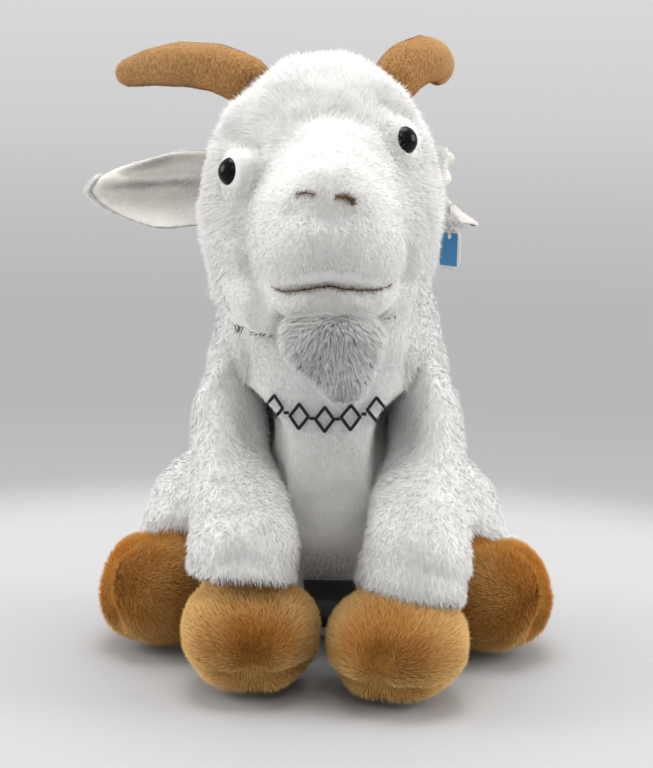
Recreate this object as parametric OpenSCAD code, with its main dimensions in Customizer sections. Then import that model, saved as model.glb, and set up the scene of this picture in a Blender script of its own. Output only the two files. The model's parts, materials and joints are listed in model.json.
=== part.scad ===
// Stuffed goat, sitting upright: a sewn plush toy with stuffed limbs, ears, horns and a pellet bag.
// It faces -Y, its right side is -X, and it sits on z = 0. All sizes are in millimetres.

/* [Cloth] */
// Thickness of the plush cloth
skin = 3; // [2:0.5:3.5]
// Free space kept between limbs and torso
clearance = 1; // [0.8:0.1:1.5]

/* [Torso] */
// Width of the torso at the hips, between the thighs
hip_w = 98; // [92:1:100]
// Depth of the belly, front to back
belly_d = 122; // [116:1:126]
// Height of the chest above the floor
chest_z = 124; // [118:1:128]
// Width of the smooth panel on the chest
chest_w = 80; // [64:1:84]

/* [Head] */
// Width of the skull
skull_w = 130; // [122:1:134]
// Height of the skull
skull_h = 162; // [154:1:166]
// Width of the muzzle
muzzle_w = 82; // [74:1:86]
// Radius of the round neck that the head turns on
neck_r = 56; // [52:0.5:57]
// Diameter of the domed eyes
eye_d = 14.5; // [13:0.5:15.5]

/* [Legs] */
// Thickness of a foreleg sleeve at its cuff
cuff_d = 58; // [52:1:60]
// Width of a fore hoof
hoof_w = 69; // [64:1:69]
// Height of a hoof
hoof_h = 57; // [54:1:59]

/* [Horns and ears] */
// Thickness of a horn at its root
horn_d = 28; // [24:1:30]
// Length of an ear from its root to its tip
ear_l = 58; // [54:1:64]
// Width of an ear
ear_w = 43; // [38:1:46]

/* [Hidden] */

// A side is -1 for the goat's right and +1 for its left. at(side) indexes the per-side lists below.
RIGHT = -1;
LEFT = 1;
function at(side) = side == RIGHT ? 0 : 1;

soft_fn = 18;           // facets round a soft form
core_fn = 12;           // facets round a stuffing form
loose = 1.6;            // free space between a skin and the stuffing inside it
gap = 0.4;              // free space between other parts
big = 400;              // larger than the toy

// Torso
belly_c = [0, 22, 56];
belly_r = [60, belly_d / 2, 50];
chest_c = [0, 0, chest_z];
chest_r = [63, 50, 48];
seat_c = [0, 20];
seat_r = [42, 48];
seat_t = 3;
bag_c = [0, 22, 20];
bag_r = [36, 44, 15];
bag_cloth = 1.2;

// Neck: the round top of the torso, the cloth cap over it and the hollow in the head, all on one centre
neck_c = [0, 12, 165];
cap_gap = 0.5;
cap_t = 1.4;
socket_r = neck_r + 2 * cap_gap + cap_t;

// Head
skull_c = [-5, -8, 234];
skull_lean = 3.5;
skull_r = [skull_w / 2, 58, skull_h / 2];
cheek_c = [-4, -22, 212];
cheek_r = [63, 47, 38];
bridge_c = [0, -50, 246];
bridge_r = [32, 40, 36];
muzzle_c = [1, -70, 222];
muzzle_r = [muzzle_w / 2, 43, 37];
chin_c = [2, -66, 196];
chin_r = [35, 34, 20];
mouth_z = 201;

function skull_front(x, z) =
    skull_c.y - skull_r.y * sqrt(1 - pow((x - skull_c.x) / skull_r.x, 2) - pow((z - skull_c.z) / skull_r.z, 2));

// Eyes: centre of the dome's flat back, and the way it looks as angles round Z from -Y and above level
eye_at = [for (e = [[-50, 252], [37, 269]]) [e.x, skull_front(e.x, e.y), e.y]];
eye_turn = [-57, 54];
eye_up = [5, 9];
shank_r = 2;
shank_l = 12;
washer_r = 6.5;
washer_t = 1.6;
washer_in = 8;

// Horns: points along each, and the thickness at each as a share of the root's
horn_spine = [[[-33, -4, 290], [-45, 0, 299], [-61, 7, 305], [-78, 16, 307], [-95, 27, 306], [-110, 38, 303]],
              [[29, 0, 295], [38, 9, 307], [47, 23, 312], [53, 39, 313], [57, 55, 311], [59, 69, 308]]];
horn_share = [1, 0.97, 0.93, 0.87, 0.78, 0.6];

// Ears: middle of the root, lean of the root line, and the way the ear points, round Z from +X
ear_root = [[-70, 10, 244], [60, 16, 246]];
ear_lean = 8;
ear_point = [188, 95];
ear_tilt = [12, 6];
ear_curl_r = 32;
ear_back_t = 3;
lining_t = 1.6;
ear_swing = [[-16, 32], [-42, 8]];

// Forelegs: shoulder, wrist and hoof of each side
shoulder = [[-51, -11, 124], [51, -11, 124]];
shoulder_r = 22;
wrist = [[-38, -80, 68], [46, -82, 66]];
cuff_z = [58, 52];
cuff_slope = [-0.06, 0.17];
fore_hoof = [[-34.9, -86, 28.5], [37, -94, 28.5]];
fore_toe_turn = [-2, -20];
fore_swing = 20;        // how far a foreleg lifts, in degrees

// Hind legs: haunch and hoof of each side
haunch_c = [[-65, 32, 50.5], [65, 32, 50.5]];
haunch_r = [36, 50, 50];
hind_hoof = [[-81, -17, 29], [85, -18, 29]];
hind_toe_turn = [-46, 46];
hind_hoof_w = 60;

// Tail
tail_root = [0, 85, 66];
tail_lift = 30;
tail_swing = 25;

// ---------- shared shapes ----------

// An ellipsoid, shrunk on every side by inset
module egg(c, r, inset = 0, fn = soft_fn)
    translate(c) scale([for (x = r) x - inset]) sphere(r = 1, $fn = fn);

// Makes one closed mesh of its children, so that a form of many curved pieces stays one solid
module one_mesh() resize([0, 0, 0]) children();

module below_floor(z = 0) translate([0, 0, z - big]) cube(2 * big, center = true);

// The half of space on the far side of a plane through point, along normal
module beyond(point, normal) {
    n = normal / norm(normal);
    translate(point) rotate([0, acos(n.z), atan2(n.y, n.x)])
        translate([0, 0, big / 2]) cube(big, center = true);
}

// Copies of the children turned about an axis through a pivot by each of the angles
module turned(pivot, axis, angles)
    for (a = angles) translate(pivot) rotate(a = a, v = axis) translate(-pivot) children();

// A round tube through points, with a radius at each
module tube(points, radii, inset = 0, fn = 16)
    for (i = [0 : len(points) - 2])
        hull() {
            translate(points[i]) sphere(r = radii[i] - inset, $fn = fn);
            translate(points[i + 1]) sphere(r = radii[i + 1] - inset, $fn = fn);
        }

// ---------- soft forms, each with an inset from its outer surface ----------

module torso_body(inset = 0, fn = soft_fn)
    hull() {
        egg(belly_c, belly_r, inset, fn);
        egg(chest_c, chest_r, inset, fn);
        translate(neck_c) sphere(r = neck_r - inset, $fn = fn == soft_fn ? 26 : 18);
        translate([seat_c.x, seat_c.y, inset > 0 ? inset : 0]) linear_extrude(height = 2)
            scale([seat_r.x + 4 - inset, seat_r.y + 4 - inset]) circle(r = 1, $fn = 24);
    }

module torso_form(inset = 0, fn = soft_fn)
    difference() {
        torso_body(inset, fn);
        for (side = [RIGHT, LEFT]) {
            hull() turned(shoulder[at(side)], [1, 0, 0], [0, -fore_swing])
                sleeve_form(side, -inset - clearance, 14);
            haunch_room(side, inset);
        }
    }

// The flat-sided space beside the hips in which a haunch turns
module haunch_room(side, inset) {
    translate([side * (hip_w / 2 - inset), haunch_c[at(side)].y, haunch_c[at(side)].z])
        rotate([0, side * 90, 0]) cylinder(r = haunch_r.y + clearance + inset, h = big, $fn = 28);
}

module sleeve_form(side, inset = 0, fn = soft_fn) {
    i = at(side);
    hull() {
        egg(shoulder[i], [shoulder_r, shoulder_r, shoulder_r], inset, fn);
        egg(wrist[i], [cuff_d / 2, cuff_d / 2, 25], inset, fn);
    }
}

module hoof_form(c, turn, wide, inset = 0, fn = soft_fn)
    translate(c) rotate([0, 0, turn]) {
        egg([0, 0, 0], [wide / 2, wide / 2 + 2, hoof_h / 2], inset, fn);
        if (inset <= 0) for (s = [-1, 1])
            egg([s * wide * 0.21, -18, -6], [wide * 0.22, 19, 21], 0, fn);
    }

module fore_limb_form(side, inset = 0, fn = soft_fn) {
    i = at(side);
    sleeve_form(side, inset, fn);
    hoof_form(fore_hoof[i], fore_toe_turn[i], hoof_w, inset, fn);
}

module hind_limb_form(side, inset = 0, fn = soft_fn) {
    i = at(side);
    difference() {
        union() {
            hull() {
                egg(haunch_c[i], haunch_r, inset, fn);
                egg(hind_hoof[i] + [-side * 6, 20, 3], [22, 24, 27], inset, fn);
            }
            hoof_form(hind_hoof[i], hind_toe_turn[i], hind_hoof_w, inset, fn);
        }
        translate([side * (hip_w / 2 + clearance + inset - big / 2), 0, 0]) cube(big, center = true);
    }
}

module head_form(inset = 0, fn = soft_fn) {
    translate(skull_c) rotate([0, skull_lean, 0])
        egg([0, 0, 0], skull_r, inset, fn == soft_fn ? 24 : fn);
    egg(cheek_c, cheek_r, inset, fn == soft_fn ? 20 : fn);
    hull() {
        egg(bridge_c, bridge_r, inset, fn);
        egg(muzzle_c, muzzle_r, inset, fn);
    }
    egg(chin_c, chin_r, inset, fn);
}

module horn_form(side, inset = 0, fn = 14)
    tube(horn_spine[at(side)], [for (k = horn_share) k * horn_d / 2], inset, fn);

module tail_form(inset = 0, fn = 16)
    translate(tail_root) rotate([tail_lift, 0, 0]) hull() {
        egg([0, 2, 0], [9, 9, 8], inset, fn);
        egg([0, 22, 0], [13, 12, 10], inset, fn);
        egg([0, 36, 0], [8, 12, 6], inset, fn);
    }

// ---------- torso ----------

// The smooth panel down the front of the torso
module chest_zone(grow = 0)
    translate([0, -big / 2 + 2 + grow, 0]) cube([chest_w + 2 * grow, big, 2 * big], center = true);

module seat_hole(grow = 0)
    translate(seat_c) linear_extrude(height = 2 * (seat_t + grow), center = true)
        scale([seat_r.x + grow, seat_r.y + grow]) circle(r = 1, $fn = 40);

module torso_shell() difference() {
    torso_form();
    torso_form(skin);
    seat_hole(gap);
    below_floor();
}

module torso_skin() color("white") one_mesh() difference() {
    torso_shell();
    chest_zone(gap / 2);
}

module chest_panel() color("ghostwhite") one_mesh() intersection() {
    torso_shell();
    chest_zone(-gap / 2);
}

module seat_panel() color("gray")
    translate(seat_c) linear_extrude(height = seat_t)
        polygon([for (a = [0 : 9 : 351]) [seat_r.x * cos(a), seat_r.y * sin(a)]]);

module torso_stuffing() color("snow") one_mesh() difference() {
    torso_form(skin + loose, core_fn);
    hull() for (z = [0, -bag_r.z]) egg(bag_c + [0, 0, z], bag_r, -loose, 16);
    below_floor(seat_t + 1);
}

// A sewn bag, with the narrow slit that the pellets are poured in by
module pellet_bag() color("khaki") one_mesh() difference() {
    egg(bag_c, bag_r, 0, 16);
    egg(bag_c, bag_r, bag_cloth, 16);
    translate(bag_c + [0, -bag_r.y, 0]) cube([24, 20, 0.5], center = true);
}

module pellet_fill() color("lightblue") one_mesh() egg(bag_c, bag_r, bag_cloth + gap, 16);

// A black ribbon folded in half, sewn into the seam at the front of the seat
module care_label() color("black") {
    label_w = 25;
    label_l = 26;
    translate([2, -39, 40]) rotate([54, 0, 8]) for (z = [0, 0.9])
        translate([-label_w / 2, -label_l, z]) cube([label_w, label_l, 0.6]);
}

// A row of stitched diamonds in thread, sagging at its middle as it follows the round chest
module chest_embroidery() color("black") one_mesh() difference() {
    intersection() {
        translate([0, -20, 0]) rotate([90, 0, 0]) linear_extrude(height = 60) motif_row();
        torso_body(-0.9);
    }
    torso_body(-0.05);
}

module motif_row() {
    motif_n = 5;
    pitch = 12.6;
    for (k = [0 : motif_n - 1]) {
        x = (k - (motif_n - 1) / 2) * pitch;
        translate([x - 0.5, 129 + 0.006 * x * x]) diamond_ring(4.7, 6.4, 1.6);
        if (k < motif_n - 1) translate([x - 0.5 + pitch / 2, 129]) diamond(1.1, 1.6);
    }
}

module diamond(half_w, half_h) polygon([[half_w, 0], [0, half_h], [-half_w, 0], [0, -half_h]]);

module diamond_ring(half_w, half_h, line) difference() {
    diamond(half_w, half_h);
    diamond(half_w - line, half_h - line * 1.3);
}

// ---------- neck and head ----------

// The cloth that closes the neck opening: a round cap between the torso and the head
module neck_panel() color("linen") translate(neck_c) intersection() {
    difference() {
        sphere(r = neck_r + cap_gap + cap_t, $fn = 64);
        sphere(r = neck_r + cap_gap, $fn = 64);
    }
    cylinder(r = neck_r * 0.55, h = 2 * neck_r, $fn = 64);
}

module neck_hollow() translate(neck_c) sphere(r = socket_r, $fn = 32);

module chin_zone(grow = 0)
    translate([0, -big / 2 - 44 + grow, mouth_z - big / 2 + grow]) cube(big, center = true);

// Puts its children on an eye, with the dome along +Z
module on_eye(side) {
    i = at(side);
    translate(eye_at[i]) rotate([90 - eye_up[i], 0, eye_turn[i]]) children();
}

// The seat, shank hole and washer space of an eye
module eye_pocket(side) on_eye(side) {
    cylinder(r = eye_d / 2 + 0.6, h = 20, $fn = 24);
    translate([0, 0, -shank_l - gap]) cylinder(r = shank_r + gap, h = shank_l + 1, $fn = 16);
    translate([0, 0, -washer_in - washer_t - gap]) cylinder(r = washer_r + gap, h = washer_t + 2 * gap, $fn = 20);
}

module head_shell() difference() {
    head_form();
    head_form(skin);
    neck_hollow();
    for (side = [RIGHT, LEFT]) eye_pocket(side);
}

module head_skin() color("white") one_mesh() difference() {
    head_shell();
    chin_zone(gap / 2);
}

module chin_skin() color("ivory") one_mesh() intersection() {
    head_shell();
    chin_zone(-gap / 2);
}

module head_stuffing() color("snow") one_mesh() difference() {
    head_form(skin + loose, core_fn);
    neck_hollow();
    for (side = [RIGHT, LEFT]) eye_pocket(side);
}

module goatee() color("white") one_mesh() difference() {
    hull() {
        egg([3, -84, 172], [20, 9, 10], 0, 16);
        egg([5, -86, 158], [9, 7, 10], 0, 16);
    }
    head_form(-gap);
}

// Thread laid on the head's front along a line in XZ, given as a flat outline
module thread_on_face() one_mesh() difference() {
    intersection() {
        translate([0, -60, 0]) rotate([90, 0, 0]) linear_extrude(height = 80) children();
        head_form(-0.8);
    }
    head_form(-0.05);
}

// The mouth line rises a little at its middle and curls up at its corners
module mouth_stitching() color("saddlebrown") thread_on_face() {
    half = 27;
    top = [for (k = [-8 : 8]) [2 + half * k / 8, mouth_height(k / 8) + 0.8]];
    low = [for (k = [8 : -1 : -8]) [2 + half * k / 8, mouth_height(k / 8) - 0.8]];
    polygon(concat(top, low));
}

function mouth_height(t) = mouth_z + 1.2 + 1.3 * cos(180 * t * 1.3) + 1.2 * t * t;

module nostril_stitching() color("saddlebrown") thread_on_face()
    for (s = [-1, 1]) translate([1 + s * 9.5, 243.5 - s * 0.6]) difference() {
        scale([3.4, 1.8]) circle(r = 1, $fn = 16);
        translate([0, -1.4]) scale([2.2, 1.3]) circle(r = 1, $fn = 12);
    }

module eye(side) color("black") on_eye(side) {
    intersection() {
        translate([0, 0, -eye_d * 0.14]) sphere(r = eye_d * 0.52, $fn = 48);
        translate([0, 0, 0.3]) cylinder(r = eye_d, h = eye_d, $fn = 32);
    }
    translate([0, 0, -shank_l]) cylinder(r = shank_r, h = shank_l + 1, $fn = 24);
}

module eye_washer(side) color("white") on_eye(side)
    translate([0, 0, -washer_in - washer_t]) difference() {
        cylinder(r = washer_r, h = washer_t, $fn = 32);
        translate([0, 0, -1]) cylinder(r = shank_r + 0.1, h = washer_t + 2, $fn = 24);
    }

// ---------- horns ----------

module horn_skin(side) color("peru") one_mesh() difference() {
    horn_form(side);
    horn_form(side, 1.8);
    head_form(-gap);
}

module horn_stuffing(side) color("snow") one_mesh() difference() {
    horn_form(side, 1.8 + gap);
    head_form(-gap);
}

// The thread along the top of a horn, where its cloth is sewn together
module horn_seam(side) color("saddlebrown") one_mesh() difference() {
    i = at(side);
    tube([for (k = [1 : 5]) horn_spine[i][k] + [0, 0, horn_share[k] * horn_d / 2 + 0.2]],
         [for (k = [1 : 5]) 0.6], 0, 8);
    horn_form(side, -0.05);
}

// ---------- ears and tag ----------

// Half the width of an ear at a share t of its length
function ear_half(t) = ear_w / 2 * 
    (t < 0.3 ? 0.9 + 0.1 * sin(300 * t) : pow(1 - pow((t - 0.3) / 0.7, 1.6), 0.75));

// A leaf along +X, rolled about its length, between two heights over its middle
module ear_leaf(low, high, share = 1) {
    n = 14;
    edge = [for (k = [0 : n]) [ear_l * k / n * (share + 1) / 2, ear_half(k / n) * share]];
    intersection() {
        linear_extrude(height = 60, center = true)
            polygon(concat(edge, [for (k = [n - 1 : -1 : 0]) [edge[k].x, -edge[k].y]]));
        rotate([0, 90, 0]) rotate([0, 0, 180]) translate([ear_curl_r, 0, -5])
            linear_extrude(height = 80) difference() {
                circle(r = ear_curl_r - low, $fn = 40);
                circle(r = ear_curl_r - high, $fn = 40);
            }
    }
}

// Puts an ear on its root, hollow side to the front, and turns it on its root line
module on_ear(side) {
    i = at(side);
    translate(ear_root[i]) rotate([0, -side * ear_lean, 0]) rotate([0, 0, ear_point[i]])
        rotate([0, ear_tilt[i], 0]) rotate([side == RIGHT ? -90 : 90, 0, 0]) children();
}

function ear_axis(side) = [-side * sin(ear_lean), 0, cos(ear_lean)];

// The head, and the head as it passes an ear that turns on its root
module head_past_ear(side)
    turned(ear_root[at(side)], ear_axis(side), [0, -ear_swing[at(side)][0], -ear_swing[at(side)][1]])
        head_form(-clearance);

module ear_back(side) color("white") one_mesh() difference() {
    on_ear(side) ear_leaf(-ear_back_t, 0);
    head_past_ear(side);
    if (side == LEFT) fastener_form(needle_gap);
}

module ear_lining(side) color("antiquewhite") one_mesh() difference() {
    on_ear(side) ear_leaf(gap / 2, lining_t, 0.92);
    head_past_ear(side);
    if (side == LEFT) fastener_form(needle_gap);
}

// The tag hangs beside the head from a plastic filament through the ear
tag_hole = [65, 25, 219];
tag_size = [22, 0.6, 22];
tag_turn = -62;
loop_r = 8;
needle_gap = 0.15;    // round the filament where it passes through the cloth

// A loop through the edge of the ear, with the cross bar of its end standing out beside it
module fastener_form(extra = 0) translate(tag_hole + [0, 0, loop_r]) {
    rotate([90, 0, 90]) rotate_extrude($fn = 40) translate([loop_r, 0])
        circle(r = 0.5 + extra, $fn = 14);
    translate([-1, 0, loop_r - 0.4]) rotate([0, 62, 0]) translate([0, 0, -extra])
        cylinder(r = 0.7 + extra, h = 7 + 2 * extra, $fn = 14);
}

module tag_fastener() color("white") fastener_form();

module swing_tag() color("steelblue") translate(tag_hole) rotate([90, 0, tag_turn])
    linear_extrude(height = tag_size.y, center = true) difference() {
        translate([0, 3.4 - tag_size.z / 2]) offset(r = 6, $fn = 24)
            square([tag_size.x - 12, tag_size.z - 12], center = true);
        circle(r = 2.2, $fn = 24);
    }

// ---------- forelegs ----------

module above_cuff(side, drop = 0)
    beyond([side * 40, -80, cuff_z[at(side)] - drop], [side * cuff_slope[at(side)], 0.04, 1]);

module fore_limb_shell(side) difference() {
    fore_limb_form(side);
    fore_limb_form(side, skin);
    below_floor();
}

module foreleg_sleeve(side) color("white") one_mesh() intersection() {
    fore_limb_shell(side);
    above_cuff(side);
}

module fore_hoof(side) color("peru") one_mesh() difference() {
    fore_limb_shell(side);
    above_cuff(side, gap);
}

module foreleg_stuffing(side) color("snow") one_mesh() difference() {
    fore_limb_form(side, skin + loose, core_fn);
    below_floor(skin + loose);
}

// ---------- hind legs ----------

module behind_cuff(side, forward = 0)
    beyond([side * 80, 2 - forward, 50 - forward], [-side * 0.3, 0.7, 0.6]);

module hind_limb_shell(side) difference() {
    hind_limb_form(side);
    hind_limb_form(side, skin);
    below_floor();
}

module thigh_skin(side) color("white") one_mesh() intersection() {
    hind_limb_shell(side);
    behind_cuff(side);
}

module hind_hoof(side) color("peru") one_mesh() difference() {
    hind_limb_shell(side);
    behind_cuff(side, gap);
}

module hind_leg_stuffing(side) color("snow") one_mesh() difference() {
    hind_limb_form(side, skin + loose, core_fn);
    below_floor(skin + loose);
}

// ---------- tail ----------

module torso_past_tail(grow)
    turned(tail_root, [0, 0, 1], [-tail_swing, tail_swing]) torso_body(-grow);

module tail_skin() color("white") one_mesh() difference() {
    tail_form();
    tail_form(skin);
    torso_past_tail(clearance);
}

module tail_stuffing() color("snow") one_mesh() difference() {
    tail_form(skin + gap);
    torso_past_tail(clearance);
}

torso_skin();
chest_panel();
seat_panel();
torso_stuffing();
pellet_bag();
pellet_fill();
care_label();
chest_embroidery();
neck_panel();
head_skin();
chin_skin();
head_stuffing();
goatee();
mouth_stitching();
nostril_stitching();
eye(RIGHT);  // right_eye
eye(LEFT);  // left_eye
eye_washer(RIGHT);  // right_eye_washer
eye_washer(LEFT);  // left_eye_washer
horn_skin(RIGHT);  // right_horn_skin
horn_skin(LEFT);  // left_horn_skin
horn_stuffing(RIGHT);  // right_horn_stuffing
horn_stuffing(LEFT);  // left_horn_stuffing
horn_seam(RIGHT);  // right_horn_seam
horn_seam(LEFT);  // left_horn_seam
ear_back(RIGHT);  // right_ear_back
ear_lining(RIGHT);  // right_ear_lining
ear_back(LEFT);  // left_ear_back
ear_lining(LEFT);  // left_ear_lining
tag_fastener();
swing_tag();
foreleg_sleeve(RIGHT);  // right_foreleg_sleeve
foreleg_sleeve(LEFT);  // left_foreleg_sleeve
fore_hoof(RIGHT);  // right_fore_hoof
fore_hoof(LEFT);  // left_fore_hoof
foreleg_stuffing(RIGHT);  // right_foreleg_stuffing
foreleg_stuffing(LEFT);  // left_foreleg_stuffing
thigh_skin(RIGHT);  // right_thigh_skin
thigh_skin(LEFT);  // left_thigh_skin
hind_hoof(RIGHT);  // right_hind_hoof
hind_hoof(LEFT);  // left_hind_hoof
hind_leg_stuffing(RIGHT);  // right_hind_leg_stuffing
hind_leg_stuffing(LEFT);  // left_hind_leg_stuffing
tail_skin();
tail_stuffing();
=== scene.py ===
"""A sitting plush goat with long white pile, tan hooves and horns, on a pale floor in soft light."""

import math

import bpy
import numpy as np
from mathutils import Matrix, Vector
from mathutils.bvhtree import BVHTree
from mathutils.kdtree import KDTree
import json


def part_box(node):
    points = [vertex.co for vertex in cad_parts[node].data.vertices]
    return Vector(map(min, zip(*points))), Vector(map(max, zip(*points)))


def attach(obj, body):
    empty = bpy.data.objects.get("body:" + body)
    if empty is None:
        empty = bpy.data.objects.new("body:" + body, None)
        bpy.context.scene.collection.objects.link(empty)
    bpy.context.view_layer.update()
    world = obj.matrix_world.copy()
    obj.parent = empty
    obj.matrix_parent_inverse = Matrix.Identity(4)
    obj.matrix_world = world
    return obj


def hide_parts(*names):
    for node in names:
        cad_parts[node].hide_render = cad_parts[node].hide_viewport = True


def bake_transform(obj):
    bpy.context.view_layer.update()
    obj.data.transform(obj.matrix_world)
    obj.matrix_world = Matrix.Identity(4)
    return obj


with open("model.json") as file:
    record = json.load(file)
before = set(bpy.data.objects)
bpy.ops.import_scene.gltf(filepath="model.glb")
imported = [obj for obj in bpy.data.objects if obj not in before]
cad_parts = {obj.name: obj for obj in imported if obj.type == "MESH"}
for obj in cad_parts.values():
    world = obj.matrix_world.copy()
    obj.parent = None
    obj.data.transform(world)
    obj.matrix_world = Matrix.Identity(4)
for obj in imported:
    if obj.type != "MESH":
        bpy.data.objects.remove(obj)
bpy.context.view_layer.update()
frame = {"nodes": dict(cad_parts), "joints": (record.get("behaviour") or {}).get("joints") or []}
scene = bpy.context.scene
MM = 0.001
UP = np.array([0.0, 0.0, 1.0])
SIDES = (("right", -1), ("left", 1))


# ---------- camera, light and floor ----------

AIM = Vector((0, 0, 0.140))
FAR = 0.9
LENS = 93.17
LOOK_UP = math.radians(8)
ROLL = math.radians(1.1)


def make_camera():
    back = Vector((0, -math.cos(LOOK_UP), math.sin(LOOK_UP)))
    right = Vector((1, 0, 0))
    up = back.cross(right)
    x = right * math.cos(ROLL) + up * math.sin(ROLL)
    y = up * math.cos(ROLL) - right * math.sin(ROLL)
    place = AIM + back * FAR
    data = bpy.data.cameras.new("camera")
    data.sensor_fit = "HORIZONTAL"
    data.sensor_width = 36
    data.lens = LENS
    camera = bpy.data.objects.new("camera", data)
    scene.collection.objects.link(camera)
    camera.matrix_world = Matrix(
        [[x[i], y[i], back[i], place[i]] for i in range(3)] + [[0, 0, 0, 1]]
    )
    scene.camera = camera


def area_light(name, place, aim, size, power):
    data = bpy.data.lights.new(name, "AREA")
    data.shape = "DISK"
    data.size = size
    data.energy = power
    light = bpy.data.objects.new(name, data)
    scene.collection.objects.link(light)
    light.location = place
    light.rotation_euler = (Vector(aim) - Vector(place)).to_track_quat("-Z", "Y").to_euler()


make_camera()
scene.view_settings.view_transform = "Standard"


# ---------- numbers ----------


def unit(v):
    return v / np.maximum(np.linalg.norm(v, axis=-1, keepdims=True), 1e-12)


def mixed_bits(x):
    x = (x ^ (x >> 15)) * 0x2C1B3C6D & 0xFFFFFFFF
    x = (x ^ (x >> 12)) * 0x297A2D39 & 0xFFFFFFFF
    return x ^ (x >> 15)


def noise(p, size, seed=0):
    """Smooth noise from -1 to 1 at points p, with lumps about size across."""
    q = np.asarray(p) / size
    cell = np.floor(q).astype(np.int64)
    f = q - cell
    f = f * f * (3 - 2 * f)
    total = np.zeros(len(q))
    for k in range(8):
        step = np.array([k & 1, k >> 1 & 1, k >> 2 & 1])
        c = cell + step
        key = (c[:, 0] * 374761393 + c[:, 1] * 668265263 + c[:, 2] * 2147483647 + seed * 97531) & 0xFFFFFFFF
        share = np.prod(np.where(step, f, 1 - f), axis=1)
        total += share * (mixed_bits(key) / 0x7FFFFFFF - 1)
    return total


def noise3(p, size, seed=0):
    return np.stack([noise(p, size, seed + k) for k in range(3)], axis=1)


def ramp(x, low, high):
    t = np.clip((x - low) / (high - low), 0, 1)
    return t * t * (3 - 2 * t)


# ---------- meshes ----------


def points_of(mesh):
    co = np.empty(len(mesh.vertices) * 3, np.float32)
    mesh.vertices.foreach_get("co", co)
    return co.reshape(-1, 3).astype(float)


def set_points(mesh, co):
    mesh.vertices.foreach_set("co", np.ascontiguousarray(co, dtype=np.float32).ravel())
    mesh.update()


def normals_of(mesh):
    n = np.empty(len(mesh.vertices) * 3, np.float32)
    mesh.vertex_normals.foreach_get("vector", n)
    return n.reshape(-1, 3).astype(float)


def surface_of(ob):
    return points_of(ob.data), normals_of(ob.data)


def tris_of(mesh):
    mesh.calc_loop_triangles()
    t = np.empty(len(mesh.loop_triangles) * 3, np.int32)
    mesh.loop_triangles.foreach_get("vertices", t)
    return t.reshape(-1, 3)


def quads_of(mesh):
    q = np.empty(len(mesh.polygons) * 4, np.int32)
    mesh.polygons.foreach_get("vertices", q)
    return q.reshape(-1, 4)


def mesh_from(name, co, faces):
    """A smooth mesh from points and a list of equal-sided face arrays."""
    mesh = bpy.data.meshes.new(name)
    blocks = [np.asarray(f, np.int32) for f in faces if len(f)]
    corners = np.concatenate([b.ravel() for b in blocks])
    sides = np.concatenate([np.full(len(b), b.shape[1], np.int32) for b in blocks])
    mesh.vertices.add(len(co))
    mesh.vertices.foreach_set("co", np.ascontiguousarray(co, dtype=np.float32).ravel())
    mesh.loops.add(len(corners))
    mesh.loops.foreach_set("vertex_index", corners)
    mesh.polygons.add(len(sides))
    mesh.polygons.foreach_set("loop_start", np.concatenate([[0], np.cumsum(sides)[:-1]]).astype(np.int32))
    mesh.update(calc_edges=True)
    mesh.polygons.foreach_set("use_smooth", np.ones(len(sides), bool))
    return mesh


def place(name, mesh, material):
    ob = bpy.data.objects.new(name, mesh)
    scene.collection.objects.link(ob)
    if material:
        mesh.materials.append(material)
    return ob


def cad(*nodes):
    """The points and triangles of these CAD nodes together."""
    co, tri, count = [], [], 0
    for node in nodes:
        mesh = frame["nodes"][node].data
        co.append(points_of(mesh))
        tri.append(tris_of(mesh) + count)
        count += len(co[-1])
    return np.concatenate(co), np.concatenate(tri)


def applied(ob):
    """ob with its modifiers applied."""
    graph = bpy.context.evaluated_depsgraph_get()
    mesh = bpy.data.meshes.new_from_object(ob.evaluated_get(graph), depsgraph=graph)
    ob.modifiers.clear()
    old, ob.data = ob.data, mesh
    bpy.data.meshes.remove(old)
    return ob


def largest(co, faces):
    """Keeps the largest connected piece of a mesh of quads or triangles."""
    label = np.arange(len(co))
    ring = np.concatenate([faces[:, [k, (k + 1) % faces.shape[1]]] for k in range(faces.shape[1])])
    while True:
        low = np.minimum(label[ring[:, 0]], label[ring[:, 1]])
        new = label.copy()
        np.minimum.at(new, ring[:, 0], low)
        np.minimum.at(new, ring[:, 1], low)
        new = new[new]
        if (new == label).all():
            break
        label = new
    best = np.bincount(label[faces[:, 0]]).argmax()
    keep = label == best
    at = np.cumsum(keep) - 1
    return co[keep], at[faces[keep[faces[:, 0]]]]


def modified(ob, kind, **settings):
    """ob with one modifier added and applied."""
    modifier = ob.modifiers.new(kind, kind)
    for key, value in settings.items():
        setattr(modifier, key, value)
    return applied(ob)


def form(name, nodes, voxel, rounds, inset):
    """One closed surface round these CAD nodes, its facets smoothed away, inset to leave room for the pile."""
    co, tris = cad(*nodes)
    ob = place(name, mesh_from(name, co, [tris]), None)
    modified(ob, "REMESH", mode="VOXEL", voxel_size=voxel)
    co, quads = largest(points_of(ob.data), quads_of(ob.data))
    old, ob.data = ob.data, mesh_from(name, co, [quads])
    bpy.data.meshes.remove(old)
    modified(ob, "SMOOTH", factor=0.5, iterations=rounds)
    set_points(ob.data, points_of(ob.data) - normals_of(ob.data) * inset)
    return modified(ob, "SMOOTH", factor=0.5, iterations=2)


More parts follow.
